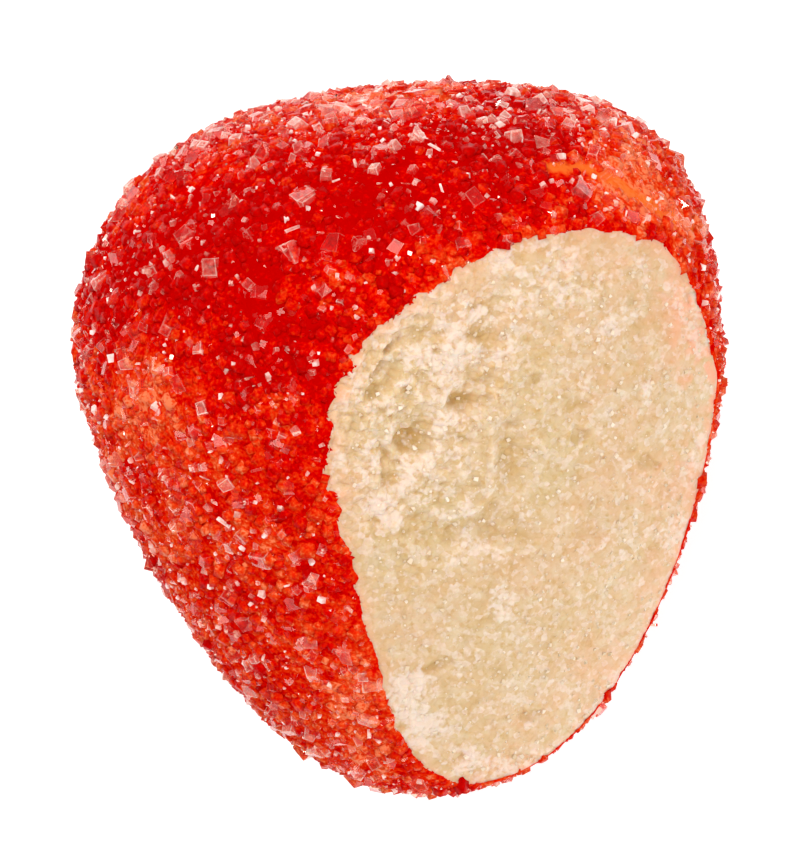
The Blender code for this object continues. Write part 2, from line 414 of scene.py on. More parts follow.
def make_cut_block(name, coarse=1, lift=0.0):
    """A block over the cut, with its underside on the map, raised by lift."""
    heights = smooth_map(relief + lift, 0.06 * MM * (coarse - 1))[::coarse, ::coarse]
    rows, columns = heights.shape
    bpy.ops.mesh.primitive_grid_add(x_subdivisions=columns - 1, y_subdivisions=rows - 1, size=1)
    block = bpy.context.object
    block.name = name
    places = np.stack([MAP_ACROSS[::coarse, ::coarse], MAP_ALONG[::coarse, ::coarse], heights], axis=-1)
    set_points(block.data, from_cut(places.reshape(-1, 3)))
    bpy.ops.object.mode_set(mode="EDIT")
    bpy.ops.mesh.select_all(action="SELECT")
    bpy.ops.mesh.extrude_region_move(
        TRANSFORM_OT_translate={"value": tuple(CUT_AXES[2] * LENGTH / 2)}
    )
    bpy.ops.mesh.select_all(action="SELECT")
    bpy.ops.mesh.normals_make_consistent(inside=False)
    bpy.ops.object.mode_set(mode="OBJECT")
    return block


def cut_away(piece, block):
    """Take block's space out of piece, then throw block away."""
    cut = piece.modifiers.new("cut", "BOOLEAN")
    cut.operation = "DIFFERENCE"
    cut.solver = "MANIFOLD"
    cut.object = block
    bpy.context.view_layer.objects.active = piece
    bpy.ops.object.modifier_apply(modifier=cut.name)
    bpy.data.objects.remove(block, do_unlink=True)
    piece.data.materials.clear()
    piece.data.polygons.foreach_set("material_index", np.zeros(len(piece.data.polygons), np.int32))
    bpy.ops.object.select_all(action="DESELECT")


# %% [markdown]
# ## The marzipan
#
# The paste fills the berry right up to the crust. Only the cut shows it, so the fine
# grid is spent there and the hidden skin stays coarse. The Boolean joins both into one
# closed body.

# %% Make the marzipan
GLAZE = 0.06 * MM
OVERLAP = 0.03 * MM

marzipan = make_berry("marzipan_body", GLAZE - OVERLAP, 192, 108)
cut_away(marzipan, make_cut_block("knife"))
print("marzipan:", len(marzipan.data.polygons), "faces")

# %% [markdown]
# ## The crust
#
# The glaze is a shell: the berry minus the same berry moved in. Sugar that melted into
# it leaves low lumps, which two Displace modifiers raise, one with rounded cells and
# one with soft clouds. They only push outwards, so the shell never gets thinner.

# %% Make the crust


def push_out(piece, kind, scale, strength, mid_level):
    """Raise a piece along its normals by one of Blender's procedural textures."""
    texture = bpy.data.textures.new(f"{piece.name}_{kind.lower()}", kind)
    texture.noise_scale = scale
    push = piece.modifiers.new(kind.title(), "DISPLACE")
    push.texture = texture
    push.texture_coords = "LOCAL"
    push.strength = strength
    push.mid_level = mid_level
    bpy.context.view_layer.objects.active = piece
    bpy.ops.object.modifier_apply(modifier=push.name)
    bpy.data.textures.remove(texture)


def press_flat(piece):
    """Nothing of the piece stays under the table."""
    points = mesh_array(piece.data.vertices, "co", 3)
    points[:, 2] = np.maximum(points[:, 2], 0)
    set_points(piece.data, points)


crust = make_berry("sugar_crust", 0.0, 390, 190)
push_out(crust, "VORONOI", 0.7 * MM, -0.04 * MM, 1.0)
push_out(crust, "CLOUDS", 1.1 * MM, 0.05 * MM, 0.0)
press_flat(crust)
cut_away(crust, make_berry("hollow", GLAZE, 192, 108))
ragged_rim = 0.02 * MM * cloud_map(0.8 * MM, 7) + 0.014 * MM * cloud_map(0.3 * MM, 11)
cut_away(crust, make_cut_block("knife", coarse=2, lift=ragged_rim))
print("crust:", len(crust.data.polygons), "faces")

# %% [markdown]
# ## Where the glaze lies bare
#
# One broad band of the crust took almost no sugar and shows the dark, wet glaze. Away
# from it the sugar is dense, and its crystals are paler the farther they lie from the
# band. One function gives that as a number, and everything that has to do with the
# sugar uses it: how many crystals stand at a place, and how pale they and the glaze are.

# %% Bare band
DARK_STRETCHES = (
    ((-12.5, 8.0), (-5.9, 9.0)),
    ((-5.9, 9.0), (-1.8, 12.0)),
    ((-1.8, 12.0), (4.5, 14.0)),
    ((-5.9, 9.0), (-5.4, 4.5)),
)
BARE_STRETCHES = (
    ((-6.4, 6.6), (-5.6, 9.4)),
    ((-2.6, 10.4), (0.4, 12.8)),
    ((-9.6, 11.2), (-8.6, 12.4)),
)
STREAKS = (
    ((6.4, 12.8), (8.4, 12.9)),
    ((8.4, 12.9), (10.5, 11.6)),
    ((10.5, 11.6), (13.2, 10.4)),
)
PALE_PLACES = (
    ((-11.5, 2.0), 2.2),
    ((10.6, 12.0), 2.8),
    ((-4.9, 1.7), 1.3),
    ((-3.4, 7.6), 1.0),
    ((-1.5, -12.5), 2.5),
    ((-2.5, 16.0), 2.0),
    ((1.5, 16.5), 2.0),
)


def nearness(points, stretches, radius):
    """1 on the stretches, as seen from above, and falling to 0 about radius away."""
    points = np.asarray(points)
    away = np.full(len(points), np.inf)
    for stretch in stretches:
        start, end = np.array(stretch) * MM
        run = end - start
        share = np.clip((points[:, :2] - start) @ run / (run @ run), 0, 1)[:, None]
        away = np.minimum(away, np.linalg.norm(points[:, :2] - start - share * run, axis=1))
    seen_side = np.clip((points[:, 2] - REST_HEIGHT) / (3 * MM), 0, 1)
    return np.exp(-((away / radius) ** 2)) * seen_side


def bareness(points):
    """How bare of sugar the crust is, from 0 to 1."""
    bare = nearness(points, BARE_STRETCHES, 1.0 * MM) + 0.2 * nearness(points, DARK_STRETCHES, 3.0 * MM)
    on_cut = over_cut(points)
    far_rim = np.clip((on_cut[:, 0] - 3 * MM) / (5 * MM), 0, 1) * np.exp(-((on_cut[:, 2] / (0.8 * MM)) ** 2))
    bare += 0.8 * far_rim
    return np.clip(bare + nearness(points, STREAKS, 0.38 * MM), 0, 1)


def paleness(points):
    """How pale the crust is, from 0 where it is dark and wet to 1 where it is frosted."""
    points = np.asarray(points)
    wide = np.array([noise.noise(Vector(point) / (3 * MM)) for point in points])
    small = np.array([noise.noise(Vector(point) / (0.9 * MM)) for point in points])
    pale = 0.55 - 0.55 * nearness(points, DARK_STRETCHES, 3.6 * MM) + 0.3 * wide + 0.35 * small
    for centre, radius in PALE_PLACES:
        away = np.linalg.norm(points[:, :2] - np.array(centre) * MM, axis=1) / (radius * MM)
        pale += 0.3 * np.exp(-(away ** 2)) * (points[:, 2] > REST_HEIGHT)
    pale += 0.25 * nearness(points, STREAKS, 0.6 * MM)
    return np.clip(pale, 0, 1)


def add_attribute(piece, name, values):
    attribute = piece.data.attributes.new(name, "FLOAT", "POINT")
    attribute.data.foreach_set("value", np.asarray(values, np.float32))


points = mesh_array(crust.data.vertices, "co", 3)
add_attribute(crust, "paleness", paleness(points))
add_attribute(crust, "streak", nearness(points, STREAKS, 0.34 * MM))

# %% [markdown]
# ## Sugar crystals
#
# Sugar grows as blocks with sliced-off edges, flat plates and long rods. A dozen
# different ones are enough, since each copy is turned and sized by chance. Each is a
# cube whose chosen edges are bevelled and whose corner is cut off by a bisecting plane.
# They have few faces, because thousands of copies follow. The crystals that sank into
# the glaze show only their tops, so for them a cube with a shifted, shrunken top does.

# %% Model the crystal forms


def select_faces(crystal, wanted):
    """Select the faces for which wanted is true."""
    bpy.ops.mesh.select_mode(type="FACE")
    bpy.ops.mesh.select_all(action="DESELECT")
    cage = bmesh.from_edit_mesh(crystal.data)
    for face in cage.faces:
        face.select_set(wanted(face))
    bmesh.update_edit_mesh(crystal.data)


def take_form(crystal):
    """Read a finished crystal's points, triangles and rims, and remove it. A point's rim
    is 0 where it is selected, in the middle of a face, and 1 on the edges round that."""
    cage = bmesh.from_edit_mesh(crystal.data)
    rims = np.array([0.0 if vert.select else 1.0 for vert in cage.verts])
    bpy.ops.mesh.select_all(action="SELECT")
    bpy.ops.mesh.quads_convert_to_tris()
    bpy.ops.mesh.normals_make_consistent(inside=False)
    bpy.ops.object.mode_set(mode="OBJECT")
    points = mesh_array(crystal.data.vertices, "co", 3)
    corners = mesh_array(crystal.data.polygons, "vertices", 3, np.int32)
    bpy.data.objects.remove(crystal, do_unlink=True)
    return points, corners, rims


def make_block(shape, worn_edges, draw):
    """A block of about unit length with worn edges, a corner sliced off, and a window
    inset in each face."""
    bpy.ops.mesh.primitive_cube_add(size=1)
    crystal = bpy.context.object
    bpy.ops.object.mode_set(mode="EDIT")
    bpy.ops.mesh.select_mode(type="EDGE")
    bpy.ops.mesh.select_all(action="DESELECT")
    cage = bmesh.from_edit_mesh(crystal.data)
    for edge in draw.sample(list(cage.edges), worn_edges):
        edge.select_set(True)
    bmesh.update_edit_mesh(crystal.data)
    bpy.ops.mesh.bevel(offset=draw.uniform(0.12, 0.28), affect="EDGES")
    bpy.ops.mesh.select_all(action="SELECT")
    corner = Vector([draw.choice((-1, 1)) * draw.uniform(0.6, 1.0) for _ in range(3)]).normalized()
    bpy.ops.mesh.bisect(
        plane_co=tuple(corner * draw.uniform(0.48, 0.6)),
        plane_no=tuple(corner),
        use_fill=True,
        clear_outer=True,
    )
    bpy.ops.mesh.select_all(action="SELECT")
    bpy.ops.transform.vertex_random(offset=0.09, seed=draw.randrange(1000))
    bpy.ops.transform.resize(value=shape)
    bpy.ops.mesh.inset(thickness=draw.uniform(0.05, 0.09), use_individual=True)
    return take_form(crystal)


def make_gem(windowed, draw):
    """A block whose top is smaller than its bottom and pushed to one side."""
    bpy.ops.mesh.primitive_cube_add(size=1)
    crystal = bpy.context.object
    bpy.ops.object.mode_set(mode="EDIT")
    select_faces(crystal, lambda face: face.normal.z > 0.5)
    bpy.ops.transform.resize(value=(draw.uniform(0.45, 0.8), draw.uniform(0.5, 0.85), 1))
    bpy.ops.transform.translate(value=(draw.uniform(-0.15, 0.15), draw.uniform(-0.12, 0.12), 0))
    bpy.ops.transform.rotate(value=draw.uniform(-0.25, 0.25), orient_axis="X", center_override=(0, 0, 0.5))
    if windowed:
        bpy.ops.mesh.select_all(action="SELECT")
        bpy.ops.transform.vertex_random(offset=0.09, seed=draw.randrange(1000))
        select_faces(crystal, lambda face: face.normal.z > -0.5)
        bpy.ops.mesh.inset(thickness=draw.uniform(0.07, 0.13), use_individual=True)
    return take_form(crystal)


draw = random.Random(5)
GEMS = [make_gem(False, draw) for _ in range(8)]
WINDOWED_GEMS = [make_gem(True, draw) for _ in range(8)]
BLOCKS = [make_block((1, draw.uniform(0.7, 0.95), draw.uniform(0.55, 0.8)), 3, draw) for _ in range(8)]
RODS = [make_block((1, draw.uniform(0.15, 0.3), draw.uniform(0.15, 0.25)), 1, draw) for _ in range(3)]
print("triangles in each crystal:", [len(form[1]) for form in GEMS + WINDOWED_GEMS + BLOCKS + RODS])

# %% [markdown]
# ## Scattering
#
# Crystals could be scattered with Geometry Nodes and realized. Here a few lines of
# arrays do the same, because then each place can be tested against the cut, the table
# and the bare band before anything is built. All copies of a kind end in one mesh.

# %% Scatter helpers


def skin_places(count, generator):
    """Places spread evenly over the berry's skin, with the directions out of it."""
    around = generator.uniform(0, 2 * np.pi, 3 * count)
    walked = generator.uniform(0.003, 0.997, 3 * count)
    t = np.interp(walked, STEPS, STEP_PLACES)
    reach = half_width(LEFT_SIDE, t) + half_width(RIGHT_SIDE, t)
    kept = generator.random(3 * count) < reach / reach.max()
    t, walked, around = t[kept][:count], walked[kept][:count], around[kept][:count]
    places = berry_points(t, around)
    ahead, behind = np.interp([walked + 0.002, walked - 0.002], STEPS, STEP_PLACES)
    lengthwise = berry_points(ahead, around) - berry_points(behind, around)
    crosswise = berry_points(t, around + 0.01) - berry_points(t, around - 0.01)
    normals = np.cross(crosswise, lengthwise)
    normals *= np.sign(np.sum(normals * (places - MIDDLE), axis=1))[:, None]
    return places, normals / np.linalg.norm(normals, axis=1)[:, None]


def frames_on(normals, tilt, generator):
    """A turn for each copy: its Z near the normal, off it by about tilt, spun by chance."""
    leaning = normals + tilt * generator.standard_normal(normals.shape)
    up = leaning / np.linalg.norm(leaning, axis=1)[:, None]
    side = np.cross(up, generator.standard_normal(up.shape))
    side /= np.linalg.norm(side, axis=1)[:, None]
    return np.stack([side, np.cross(up, side), up], axis=2)


def keep_apart(places, spacing):
    """Which places to keep, so that no two are nearer than spacing."""
    tree = KDTree(len(places))
    for number, place in enumerate(places):
        tree.insert(place, number)
    tree.balance()
    free = np.ones(len(places), bool)
    for number, place in enumerate(places):
        if free[number]:
            near = [other for _, other, _ in tree.find_range(place, spacing)]
            free[near] = False
            free[number] = True
    return free


def off_cut_and_table(places, sizes):
    """Which crystals stay off the table and below the cut."""
    on_cut = over_cut(places)
    below_cut = on_cut[:, 2] < from_map(relief, on_cut) - 0.03 * sizes
    return below_cut & (places[:, 2] > 0.9 * sizes)


def scatter_on_skin(tries, size_range, spacing, thinning, generator):
    """Places, directions and sizes of crystals on the skin, thinned as it says."""
    places, normals = skin_places(tries, generator)
    smallest, largest = size_range
    sizes = smallest + (largest - smallest) * generator.random(len(places)) ** 2
    thinned = generator.random(len(places)) < thinning(places, normals)
    kept = off_cut_and_table(places, sizes) & ~thinned
    places, normals, sizes = places[kept], normals[kept], sizes[kept]
    kept = keep_apart(places, spacing)
    return places[kept], normals[kept], sizes[kept]


def join_copies(name, forms, places, frames, sizes, tints, rim_tint, generator):
    """One object with a copy of one of the forms at each place. Each copy has a tint,
    which changes by up to rim_tint towards its rims."""
    chosen = generator.integers(len(forms), size=len(places))
    points, corners, point_tints, first = [], [], [], 0
    for number, (form_points, form_corners, rims) in enumerate(forms):
        mine = chosen == number
        copies = form_points * sizes[mine][:, None, None] @ frames[mine].transpose(0, 2, 1)
        points.append((copies + places[mine][:, None]).reshape(-1, 3))
        starts = first + len(form_points) * np.arange(mine.sum())
        corners.append((form_corners + starts[:, None, None]).reshape(-1, 3))
        strength = rim_tint * generator.uniform(0.2, 1.0, (mine.sum(), len(rims)))
        point_tints.append((tints[mine][:, None] + strength * rims).ravel())
        first += len(form_points) * mine.sum()
    mesh = bpy.data.meshes.new(name)
    mesh.from_pydata(np.concatenate(points), [], np.concatenate(corners))
    piece = bpy.data.objects.new(name, mesh)
    bpy.context.scene.collection.objects.link(piece)
    add_attribute(piece, "tint", np.clip(np.concatenate(point_tints), 0, 1))
    print(f"{name}: {len(places)} copies, {len(mesh.polygons)} triangles")
    return piece


def round_off(piece):
    """Shade a piece smooth, so that its crystals look worn or coated in syrup."""
    piece.data.polygons.foreach_set("use_smooth", np.ones(len(piece.data.polygons), bool))


# %% [markdown]
# ## Packed sugar
#
# Most crystals sank into the wet glaze and took its dye. They lie side by side, half
# in and half out, which gives the crust its cobbled look and the outline its small
# bumps. The bare spots keep only a few. Towards its sunken foot a crystal turns a
# darker red.

# %% Scatter the imported sugar
generator = np.random.default_rng(21)


def packed_thinning(places, normals):
    return 0.95 * bareness(places)


places, normals, sizes = scatter_on_skin(
    42000, (0.26 * MM, 0.8 * MM), 0.34 * MM, packed_thinning, generator
)
tints = paleness(places) + generator.uniform(-0.25, 0.25, len(places))
places += normals * (sizes * generator.uniform(-0.3, -0.08, len(sizes)))[:, None]
frames = frames_on(normals, 0.3, generator)
packed_sugar = join_copies("packed_sugar", GEMS, places, frames, sizes, tints, -0.5, generator)
round_off(packed_sugar)

# %% [markdown]
# ## The largest crystals
#
# The solid model carries the crystals that show from a step away, as bumps on its
# crust. Their corners are the only points that stand off the smooth skin, so they can be
# found: points joined by edges belong to one crystal. A clear, faceted block goes to the
# middle of each.

# %% Find and dress the largest crystals
STANDING = 0.1 * MM


def crystal_middles():
    """The middle of each clump of points that stand off the skin."""
    solid = bmesh.new()
    solid.from_mesh(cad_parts["sugar_coat"].data)
    bmesh.ops.remove_doubles(solid, verts=solid.verts, dist=0.001 * MM)
    depths = skin_depth([vert.co for vert in solid.verts])
    standing = {vert for vert, depth in zip(solid.verts, depths) if depth < -STANDING}
    middles = []
    while standing:
        clump = []
        reached = [standing.pop()]
        while reached:
            vert = reached.pop()
            clump.append(vert.co)
            for edge in vert.link_edges:
                neighbour = edge.other_vert(vert)
                if neighbour in standing:
                    standing.remove(neighbour)
                    reached.append(neighbour)
        middles.append([round(value / MM, 3) for value in sum(clump, Vector()) / len(clump)])
    solid.free()
    return np.array(sorted(middles)) * MM


places, normals = [], []
for middle in crystal_middles():
    spot, normal, _, _ = SKIN.find_nearest(middle)
    places.append(spot)
    normals.append(normal)
places, normals = np.array(places), np.array(normals)
sizes = (0.55 + 0.5 * generator.random(len(places)) ** 1.3) * MM
kept = off_cut_and_table(places, sizes)
places, normals, sizes = places[kept], normals[kept], sizes[kept]
places -= normals * (0.03 * sizes)[:, None]
tints = 0.5 * generator.random(len(places)) ** 1.5
frames = frames_on(normals, 0.6, generator)
# their rims are whiter and less clear: partly worn frost, partly painted highlight
large_crystals = join_copies("large_crystals", BLOCKS, places, frames, sizes, tints, 0.45, generator)

# %% [markdown]
# ## Clear sugar
#
# The last crystals fell on when the glaze had set. They stand on top, took no dye, and
# show the red through their faces. Along their edges they are whiter and less clear:
# partly worn frost, partly painted highlight. They lie thickest on the shoulder and in
# the pale places.

# %% Scatter the clear sugar


def frost(places, normals):
    """How thick the late sugar lies, from 0 to 1."""
    shoulder = np.clip((normals[:, 1] - 0.62) / 0.25, 0, 1)
    return np.clip(0.12 + 0.55 * shoulder + 0.7 * (paleness(places) - 0.45), 0.06, 1)


def patches(places):
    """How much more or less sugar fell here than elsewhere, from 0.3 to 1.8."""
    hills = [noise.noise(Vector(place) / (2.6 * MM)) for place in places]
    return np.clip(0.95 + 2.2 * np.array(hills), 0.3, 1.8)


def clear_thinning(places, normals):
    return 1 - (0.04 + frost(places, normals)) * (1 - 0.7 * bareness(places)) * patches(places)


places, normals, sizes = scatter_on_skin(
    16000, (0.26 * MM, 0.8 * MM), 0.48 * MM, clear_thinning, generator
)
tints = 0.5 * generator.random(len(places)) ** 1.5 + 0.2 * np.clip((normals[:, 1] - 0.7) / 0.2, 0, 1)
places += normals * (0.02 * sizes)[:, None]
frames = frames_on(normals, 0.6, generator)
# their rims are whiter and less clear: partly worn frost, partly painted highlight
clear_sugar = join_copies("clear_sugar", WINDOWED_GEMS, places, frames, sizes, tints, 0.5, generator)

# %% [markdown]
# ## Glitter
#
# Between the crystals lies sugar dust: grains and slivers too small to have a form. The
# whitest of them are white sugar and painted glints at once: opaque specks that stand in
# for highlights.

# %% Scatter the glitter


def glitter_thinning(places, normals):
    return 1 - (0.45 + 0.55 * frost(places, normals)) * (1 - 0.4 * bareness(places))


places, normals, sizes = scatter_on_skin(
    20000, (0.1 * MM, 0.36 * MM), 0.28 * MM, glitter_thinning, generator
)
# the few grains with the highest tint come out nearly opaque white: painted glints
tints = 1.2 * generator.random(len(places)) ** 3
places += normals * (0.08 * MM)
frames = frames_on(normals, 0.8, generator)
grains_with_painted_glints = join_copies("grains_with_painted_glints", GEMS, places, frames, sizes, tints, -0.3, generator)

places, normals, sizes = scatter_on_skin(
    4500, (0.3 * MM, 0.75 * MM), 0.8 * MM, glitter_thinning, generator
)
# the slivers with the highest tint come out nearly opaque white: painted glints
tints = 0.9 * generator.random(len(places)) ** 2
places += normals * (0.06 * MM)
frames = frames_on(normals, 1.0, generator)
slivers_with_painted_glints = join_copies("slivers_with_painted_glints", RODS, places, frames, sizes, tints, 0.3, generator)

# %% [markdown]
# ## Grains on the cut
#
# The paste holds sugar too. Grains of it show at the cut as white specks, and loose
# crumbs of paste lie where it was torn.

# %% Scatter on the cut


def cut_places(count, seeds):
    """Places on the crumbly cut, inside the crust, with how torn the cut is there."""
    flat = seeds.uniform((-0.5, -0.5, 0), (0.5, 0.5, 0), (count, 3))
    flat *= (CUT_WIDTH, CUT_LENGTH, 1)
    flat[:, :2] += CUT_CENTRE
    flat[:, 2] = from_map(relief, flat)
    spots = from_cut(flat)
    inside = from_map(DEPTH_MAP, flat) > 0.25 * MM
    return spots[inside], from_map(torn, flat)[inside]


places, tornness = cut_places(7000, generator)
kept = generator.random(len(places)) < 0.2 + 0.45 * tornness
places = places[kept]
kept = keep_apart(places, 0.2 * MM)
places = places[kept]
sizes = (0.05 + 0.17 * generator.random(len(places)) ** 3) * MM
frames = frames_on(np.tile(CUT_AXES[2], (len(places), 1)), 1.0, generator)
tints = generator.random(len(places))
paste_sugar = join_copies("paste_sugar", GEMS, places, frames, sizes, tints, 0.0, generator)

# %% [markdown]
# ## Colours that follow the form
#
# The paste isn't one colour. It is tan in its hollows, partly because they are moist and
# partly as painted shade, white where sugar and dry crumbs stand up, and the red dye has
# crept in from the crust. These three are stored on the points as attributes, worked out
# from the map and from the depth under the skin, so that the finish follows the form.

# %% Attributes of the marzipan
points = mesh_array(marzipan.data.vertices, "co", 3)
on_cut = over_cut(points)
at_cut = on_cut[:, 2] > from_map(relief, on_cut) - 0.06 * MM
relief_detail = relief - smooth_map(relief, 0.6 * MM)
# hollow: tan in the recesses, partly moist paste and partly painted shade
hollow = -relief_detail / (0.3 * MM) + 0.12 * cloud_map(0.6 * MM, 13) + 0.1 * cloud_map(0.25 * MM, 15)
hollow = np.where(at_cut, from_map(np.clip(hollow, 0, 1), on_cut), 0)
white = 0.13 * cloud_map(1.4 * MM, 8) + 0.13 * cloud_map(0.5 * MM, 12) + 0.35 * torn - 0.28
white += 0.5 * np.clip(dusty, 0, 1.5)
white += 0.2 * (granule_chance - 0.5) * granules
white += 0.4 * (1 + np.clip(dusty, 0, 1)) * (grain_chance - 0.55) * grains
white += 0.6 * relief_detail / (0.22 * MM)
powder = np.where(at_cut, from_map(np.clip(white, 0, 1), on_cut), 0)
depth = skin_depth(points)
far_side = np.clip((on_cut[:, 0] + 1 * MM) / (9 * MM), 0, 1)
upper_right = np.exp(-np.hypot(on_cut[:, 0] - 10 * MM, on_cut[:, 1] - 9.5 * MM) ** 2 / (5 * MM) ** 2)
mottle = 0.6 + 0.5 * cloud_map(1.2 * MM, 9) + 0.3 * cloud_map(0.4 * MM, 14) + (grain_chance - 0.5)
mottle = np.clip(from_map(mottle, on_cut), 0, 1.6)
speckle = np.clip(0.45 + 0.5 * cloud_map(0.35 * MM, 16) + 0.9 * (grain_chance - 0.5), 0, 1)
speckle = 1 - 0.85 * upper_right * (1 - from_map(speckle, on_cut))
edge_dye = np.exp(-np.clip(depth - GLAZE, 0, None) / ((0.12 + 0.15 * upper_right * mottle) * MM))
wide_dye = 0.12 * upper_right * np.exp(-depth / (0.9 * MM)) + 0.2 * far_side * np.exp(-depth / (3 * MM))
wide_dye += np.where(at_cut, 0.13 * from_map(pink, on_cut), 0)
wide_dye = np.clip(wide_dye * mottle * speckle, 0, 0.4)
warmth = np.where(at_cut, from_map(0.5 + 0.3 * cloud_map(2.2 * MM, 10), on_cut), 0.5)
add_attribute(marzipan, "hollow", hollow)
add_attribute(marzipan, "powder", powder)
add_attribute(marzipan, "dye", np.clip((0.45 + 0.35 * far_side) * edge_dye * speckle + wide_dye, 0, 1))
add_attribute(marzipan, "warmth", np.clip(warmth + 0.3 * far_side, 0, 1))

# %% [markdown]
# ## Finishes
#
# Each finish starts from the Principled shader. What is the same all over is set on its
# own sockets, and what varies comes from noise, cells or an attribute through a ramp.

# %% Helpers for finishes


def new_finish(name, **sockets):
    """A material with its node tree and its shader's sockets set."""
    material = bpy.data.materials.new(name)
    material.use_nodes = True
    shader = material.node_tree.nodes["Principled BSDF"]
    for socket, value in sockets.items():
        shader.inputs[socket.replace("_", " ")].default_value = value
    return material, shader


def add_node(material, kind, inputs=(), **settings):
    """A node with its settings, and its inputs linked or set."""
    node = material.node_tree.nodes.new(kind)
    for name, value in settings.items():
        setattr(node, name, value)
    for name, value in dict(inputs).items():
        if isinstance(value, bpy.types.NodeSocket):
            material.node_tree.links.new(value, node.inputs[name])
        else:
            node.inputs[name].default_value = value
    return node


def attribute(material, name):
    return add_node(material, "ShaderNodeAttribute", attribute_name=name).outputs["Fac"]


def object_place(material, flatness=1.0):
    """The place on the object, its height shrunk by flatness: a pattern then stretches
    down steep sides instead of looking squashed on them from above."""
    place = add_node(material, "ShaderNodeTexCoord").outputs["Object"]
    node = add_node(material, "ShaderNodeVectorMath", {0: place, 1: (1, 1, flatness)}, operation="MULTIPLY")
    return node.outputs[0]


def noise_pattern(material, spacing, detail=3.0, flatness=1.0):
    inputs = {"Vector": object_place(material, flatness), "Scale": 1 / spacing, "Detail": detail}
    return add_node(material, "ShaderNodeTexNoise", inputs).outputs["Fac"]


def cell_pattern(material, spacing, feature="F1", flatness=1.0, **inputs):
    inputs |= {"Vector": object_place(material, flatness), "Scale": 1 / spacing}
    return add_node(material, "ShaderNodeTexVoronoi", inputs, feature=feature)


def math_node(material, operation, *values):
    node = add_node(material, "ShaderNodeMath", operation=operation)
    for socket, value in zip(node.inputs, values):
        if isinstance(value, bpy.types.NodeSocket):
            material.node_tree.links.new(value, socket)
        else:
            socket.default_value = value
    return node.outputs[0]


def ramp(material, factor, *stops):
    """A colour ramp: each stop is a place and a colour."""
    node = add_node(material, "ShaderNodeValToRGB", {"Fac": factor})
    while len(node.color_ramp.elements) < len(stops):
        node.color_ramp.elements.new(1.0)
    for element, (place, colour) in zip(node.color_ramp.elements, stops):
        element.position = place
        element.color = (*colour, 1)
    return node.outputs["Color"]


def grey_ramp(material, factor, *stops):
    return ramp(material, factor, *((place, (value,) * 3) for place, value in stops))


def mix(material, factor, first, second):
    """Mix two colours; each may be a socket or three numbers."""
    node = add_node(material, "ShaderNodeMix", data_type="RGBA")
    for socket, value in ((node.inputs["Factor"], factor), (node.inputs[6], first), (node.inputs[7], second)):
        if isinstance(value, bpy.types.NodeSocket):
            material.node_tree.links.new(value, socket)
        else:
            socket.default_value = (*value, 1) if isinstance(value, tuple) else value
    return node.outputs[2]


def bump(material, shader, height, distance, strength=1.0):
    inputs = {"Height": height, "Distance": distance, "Strength": strength}
    node = add_node(material, "ShaderNodeBump", inputs)
    material.node_tree.links.new(node.outputs["Normal"], shader.inputs["Normal"])


def finish(piece, material, shader, colour):
    material.node_tree.links.new(colour, shader.inputs["Base Color"])
    piece.data.materials.append(material)


# %% Marzipan finish
CREAM = (0.62, 0.445, 0.22)
PEACH = (0.67, 0.43, 0.235)
LIGHT_CREAM = (0.69, 0.52, 0.33)
TAN = (0.58, 0.35, 0.12)
WHITE = (0.79, 0.64, 0.53)
DYED = (0.90, 0.36, 0.22)
FLATNESS = 0.35

material, shader = new_finish(
    "almond paste",
    Roughness=0.7,
    Subsurface_Weight=0.7,
    Subsurface_Scale=0.8 * MM,
    Subsurface_Radius=(1.0, 0.6, 0.35),
)
colour = mix(material, attribute(material, "warmth"), CREAM, PEACH)
broad = noise_pattern(material, 0.8 * MM, 5.0, FLATNESS)
colour = mix(material, grey_ramp(material, broad, (0.42, 0.0), (0.62, 0.8)), colour, LIGHT_CREAM)
small = noise_pattern(material, 0.3 * MM, 4.0, FLATNESS)
colour = mix(material, grey_ramp(material, small, (0.3, 0.8), (0.47, 0.0)), colour, TAN)
cells = cell_pattern(material, 0.26 * MM, "SMOOTH_F1", FLATNESS, Smoothness=0.3)
chance = add_node(material, "ShaderNodeSeparateColor", {"Color": cells.outputs["Color"]}).outputs[0]
colour = mix(material, grey_ramp(material, chance, (0.5, 0.0), (1.0, 0.45)), colour, WHITE)
# the hollows turn tan: partly moist paste, partly painted shade
colour = mix(material, attribute(material, "hollow"), colour, TAN)
grain = math_node(material, "MULTIPLY_ADD", chance, 0.5, -0.75)
crumb = noise_pattern(material, 0.22 * MM, 4.0, FLATNESS)
grain = math_node(material, "MULTIPLY_ADD", crumb, 1.6, grain)
white = math_node(material, "ADD", attribute(material, "powder"), grain)
white = grey_ramp(material, white, (0.4, 0.0), (0.95, 0.85))
white_dye = math_node(material, "MULTIPLY_ADD", white, -0.5, 1.0)
white_dye = math_node(material, "MULTIPLY", white_dye, attribute(material, "dye"))
colour = mix(material, white, colour, WHITE)
colour = mix(material, white_dye, colour, DYED)
bump(material, shader, noise_pattern(material, 0.12 * MM, 3.0, FLATNESS), 0.012 * MM)
finish(marzipan, material, shader, colour)

# %% Crust finish
DARK_RED = (0.46, 0.0, 0.0)
RED = (0.61, 0.0, 0.0)
SCARLET = (0.70, 0.02, 0.001)
ORANGE_RED = (0.74, 0.065, 0.01)
PINK = (0.86, 0.19, 0.075)
SUGAR_REDS = ((0.0, DARK_RED), (0.3, RED), (0.55, SCARLET), (0.8, ORANGE_RED), (1.0, PINK))
ORANGE = (0.82, 0.15, 0.02)


def sugar_red(material, pale):
    """The red of dyed sugar, from how pale it is and a grain as fine as broken crystals."""
    grain = math_node(material, "MULTIPLY_ADD", noise_pattern(material, 0.16 * MM), 1.4, -0.7)
    lumps = math_node(material, "MULTIPLY_ADD", noise_pattern(material, 0.6 * MM), 0.8, -0.4)
    pale = math_node(material, "ADD", pale, math_node(material, "ADD", grain, lumps))
    return ramp(material, pale, *SUGAR_REDS)


